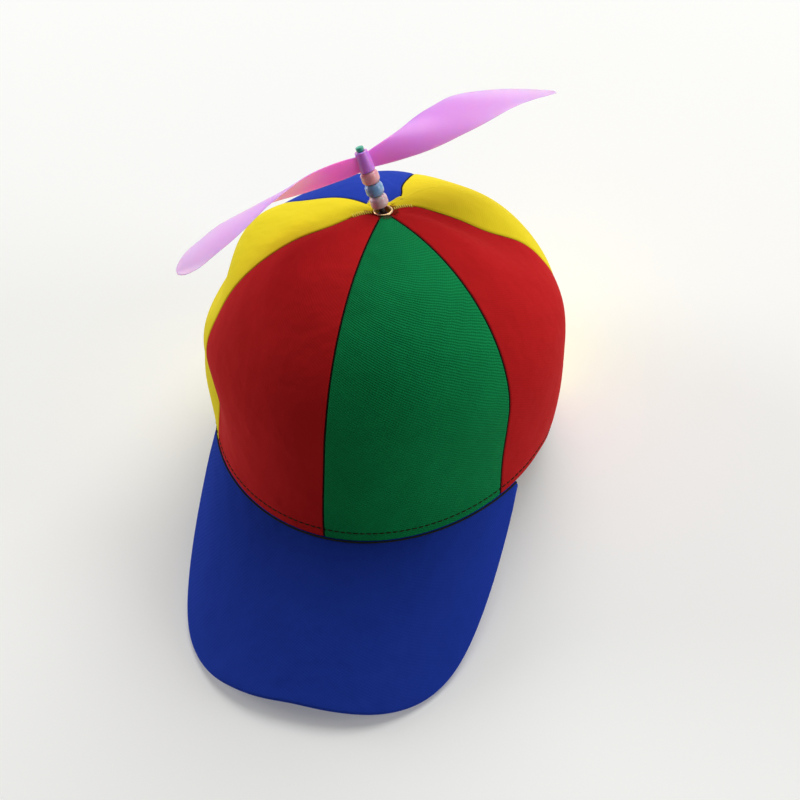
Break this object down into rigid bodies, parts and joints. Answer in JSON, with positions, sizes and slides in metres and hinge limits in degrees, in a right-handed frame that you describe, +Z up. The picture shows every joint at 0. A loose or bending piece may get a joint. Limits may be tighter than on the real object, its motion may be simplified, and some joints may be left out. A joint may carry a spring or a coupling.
{
  "type": "propeller cap",
  "caption": "Six-panel cloth cap with a curved brim, a brass eyelet and a two-bladed plastic propeller turning on a leaning beaded stick; rests on its brim and back rim.",
  "frame": {"origin": "on the surface the cap rests on, below the middle of the whole object's box", "axes": "+Z up; the brim points along -Y and the arch behind along +Y; +X is the wearer's left"},
  "size_m": [0.1842, 0.2914, 0.167],
  "materials": {
    "twill_green": "cotton twill, matt",
    "twill_red": "cotton twill, matt",
    "twill_yellow": "cotton twill, matt",
    "twill_blue": "cotton twill, matt",
    "eyelet_brass": "rolled and lightly polished",
    "bead_pink": "pearly moulded plastic",
    "bead_blue": "pearly moulded plastic",
    "bead_coral": "pearly moulded plastic",
    "stick_teal": "moulded plastic",
    "propeller_orchid": "translucent moulded plastic"
  },
  "bodies": {
    "cap": {"panel_front_right": "twill_green", "panel_side_right": "twill_red", "panel_back_right": "twill_yellow", "panel_back_left": "twill_blue", "panel_side_left": "twill_yellow", "panel_front_left": "twill_red", "brim": "twill_blue", "back_strap": "twill_blue", "grommet": "eyelet_brass", "bead_lower": "bead_pink", "bead_middle": "bead_blue", "bead_upper": "bead_coral", "shaft": "stick_teal"},
    "propeller": {"propeller": "propeller_orchid"}
  },
  "joints": [
    {"name": "propeller_spin", "type": "hinge", "parent": "cap", "child": "propeller", "pos_m": [-0.00878, 0.07312, 0.15494], "axis": [-0.3389, 0.3683, 0.8657], "continuous": true}
  ]
}
